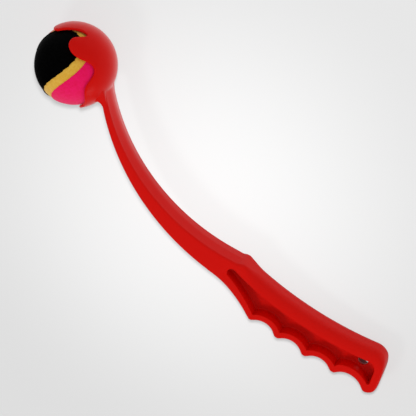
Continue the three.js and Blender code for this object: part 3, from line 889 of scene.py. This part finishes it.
black_panel = felt_panel("black_felt_panel", side=1, edge_rise=0.45, edge_wave=0.3)
black_panel.data.materials.append(felt("needled_black_felt", "#010101", "#030304", sheen=0.0))
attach(black_panel, "ball")
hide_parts("felt_panel_black")
pink_panel = felt_panel("pink_felt_panel", side=-1, edge_rise=0.15, edge_wave=0.08)
pink_panel.data.materials.append(felt("needled_pink_felt", "#ea0650", "#f20e66", sheen=0.14))
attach(pink_panel, "ball")
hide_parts("felt_panel_pink")

# The yellow band lies a little lower than the panels and reaches to the edges of both
band_rows = []
half = SEAM_WIDTH / 2
across_shares = (-1, -0.6, -0.2, 0.2, 0.6, 1)
for k in range(BAND_STEPS):
    turn = 2 * pi * k / BAND_STEPS
    top = [beside_seam(turn, half * share) * (BALL_RADIUS - SEAM_RECESS) for share in across_shares]
    under = [beside_seam(turn, half * share) * felt_inner for share in (1, -1)]
    band_rows.append(top + under)
count = len(band_rows[0])
faces = []
for row in range(BAND_STEPS):
    here, there = row * count, (row + 1) % BAND_STEPS * count
    for k in range(count):
        following = (k + 1) % count
        faces.append((here + k, here + following, there + following, there + k))
band = new_piece("yellow_seam_band", [point for row in band_rows for point in row], faces)
tidy_normals(band)
band.data.transform(laid_down @ ball_turn)
pick(band)
bpy.ops.object.shade_smooth_by_angle(angle=SMOOTH_ANGLE)
band.data.materials.append(felt("woven_yellow_felt", "#dca42e", "#e6b848", sheen=0.3))
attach(band, "ball")
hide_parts("seam_band_yellow")

# The core halves stay as the frame has them, inside the felt: dark moulded natural rubber, dull, with
# a grain of about a millimetre
GRAIN_SPACING = 1.111
rubber, shader = new_material("moulded_natural_rubber")
shader.inputs["Base Color"].default_value = linear("#3a3835")
place = node(rubber, "ShaderNodeTexCoord").outputs["Object"]
grain = node(rubber, "ShaderNodeTexNoise", {
    "Vector": place, "Scale": 1 / (GRAIN_SPACING * MILLIMETRE), "Detail": 3,
})
dull = node(rubber, "ShaderNodeMapRange", {"Value": grain.outputs["Fac"], "To Min": 0.7, "To Max": 0.9})
link(rubber, dull.outputs["Result"], shader.inputs["Roughness"])
for name in ("ball_core_upper_half", "ball_core_lower_half"):
    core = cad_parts[name]
    core.data.materials.clear()
    core.data.materials.append(rubber)

# Floor and light
# Matt paper on a table, with a painted pool of light on it: its colour fades from white in the middle
# to light grey further out. The camera sees part of that colour as it is painted, and the rest as lamp
# and shadow make it. The gloss of the plastic mirrors it, and for the gloss the paper glows brighter
# round the cup: a painted glow, which puts painted highlights on the cup.
PAPER_SIZE = 8
PAPER_SHARE = 0.36
# The painted pool of light on the paper: its middle, and how far out it has faded to grey
LIGHT_POOL_MIDDLE = (-0.01, -0.01, 0.0)
LIGHT_POOL_FADE = 0.24
FLOOR_SEEN = 0.5
# The paper's painted glow, which the gloss alone sees: bright round the cup and dimmer further off, so
# that the plastic shows painted highlights
UNDER_CUP = (-0.16, 0.0, 0.0)
NEAR_CUP = 0.05
FAR_FROM_CUP = 0.11
REFLECTION_GLOW_NEAR = 1.4
REFLECTION_GLOW_FAR = 0.45
WORLD_LEVEL = 0.6

bpy.ops.object.select_all(action="DESELECT")
bpy.ops.mesh.primitive_plane_add(size=PAPER_SIZE)
ground = bpy.context.active_object
ground.name = "ground"
paper, shader = new_material("matt_paper")
place = node(paper, "ShaderNodeTexCoord").outputs["Object"]
# The paper's colour is a painted pool of light: white in the middle, light grey further out
spread = node(paper, "ShaderNodeVectorMath", {0: place, 1: LIGHT_POOL_MIDDLE}, operation="DISTANCE")
light_pool_fade = node(paper, "ShaderNodeMapRange", {
    "Value": spread.outputs["Value"], "From Min": 0.0, "From Max": LIGHT_POOL_FADE,
}, interpolation_type="SMOOTHSTEP")
light_pool_tone = node(paper, "ShaderNodeMix", {"Factor": light_pool_fade.outputs["Result"]}, data_type="RGBA")
light_pool_tone.inputs["A"].default_value = linear("#ffffff")
light_pool_tone.inputs["B"].default_value = linear("#e4e4e4")
grey = node(paper, "ShaderNodeMix", {"Factor": 1.0}, data_type="RGBA", blend_type="MULTIPLY")
link(paper, light_pool_tone.outputs["Result"], grey.inputs["A"])
grey.inputs["B"].default_value = (PAPER_SHARE, PAPER_SHARE, PAPER_SHARE, 1)
link(paper, grey.outputs["Result"], shader.inputs["Base Color"])
shader.inputs["Roughness"].default_value = 1
shader.inputs["Specular IOR Level"].default_value = 0
rays = node(paper, "ShaderNodeLightPath").outputs
# For gloss rays the paper glows instead of being lit: a painted glow, strongest round the cup, that
# puts painted highlights on the cup
cup_spread = node(paper, "ShaderNodeVectorMath", {0: place, 1: UNDER_CUP}, operation="DISTANCE")
painted_reflection_level = node(paper, "ShaderNodeMapRange", {
    "Value": cup_spread.outputs["Value"], "From Min": NEAR_CUP, "From Max": FAR_FROM_CUP,
    "To Min": REFLECTION_GLOW_NEAR, "To Max": REFLECTION_GLOW_FAR,
})
strength = node(paper, "ShaderNodeMix", {
    "Factor": rays["Is Glossy Ray"], "A": 1.0, "B": painted_reflection_level.outputs["Result"],
})
glow = node(paper, "ShaderNodeEmission", {
    "Color": light_pool_tone.outputs["Result"], "Strength": strength.outputs["Result"],
})
seen = node(paper, "ShaderNodeMath", {
    0: rays["Is Camera Ray"], 1: FLOOR_SEEN, 2: rays["Is Glossy Ray"],
}, operation="MULTIPLY_ADD")
mixed = node(paper, "ShaderNodeMixShader", {"Fac": seen.outputs["Value"], 1: shader.outputs["BSDF"]})
link(paper, glow.outputs["Emission"], mixed.inputs[2])
link(paper, mixed.outputs["Shader"], paper.node_tree.nodes["Material Output"].inputs["Surface"])
ground.data.materials.append(paper)

# A plain white room lights the thrower evenly. The gloss doesn't mirror it, but only the paper and
# the lamp at the far end
world = bpy.data.worlds.new("studio")
world.use_nodes = True
background = world.node_tree.nodes["Background"].inputs
background["Color"].default_value = linear("#ffffff")
background["Strength"].default_value = WORLD_LEVEL
bpy.context.scene.world = world
world.cycles_visibility.glossy = False


def lamp(name, place, size, power):
    """A square lamp that faces the middle of the thrower."""
    data = bpy.data.lights.new(name, "AREA")
    data.shape = "SQUARE"
    data.size = size
    data.energy = power
    lamp_object = bpy.data.objects.new(name, data)
    bpy.context.collection.objects.link(lamp_object)
    lamp_object.location = place
    lamp_object.rotation_euler = (-Vector(place)).to_track_quat("-Z", "Y").to_euler()
    return lamp_object


palm_side = lamp("palm_side", (1.0, 1.9, 0.9), size=0.5, power=5)
finger_side = lamp("finger_side", (0.1, -1.3, 2.0), size=0.5, power=15)
lamp("far_end", (2.4, -0.5, 0.35), size=0.9, power=5)
# The floor's lamp lights the paper alone, and is small, so that the shadow is tight
floor_lamp = lamp("floor_lamp", (-0.31, 1.15, 2.05), size=0.16, power=120)
for unseen in (palm_side, finger_side, floor_lamp):
    unseen.visible_glossy = False
lit_by_it = bpy.data.collections.new("floor_only")
lit_by_it.objects.link(ground)
floor_lamp.light_linking.receiver_collection = lit_by_it
bpy.context.scene.view_settings.view_transform = "Standard"
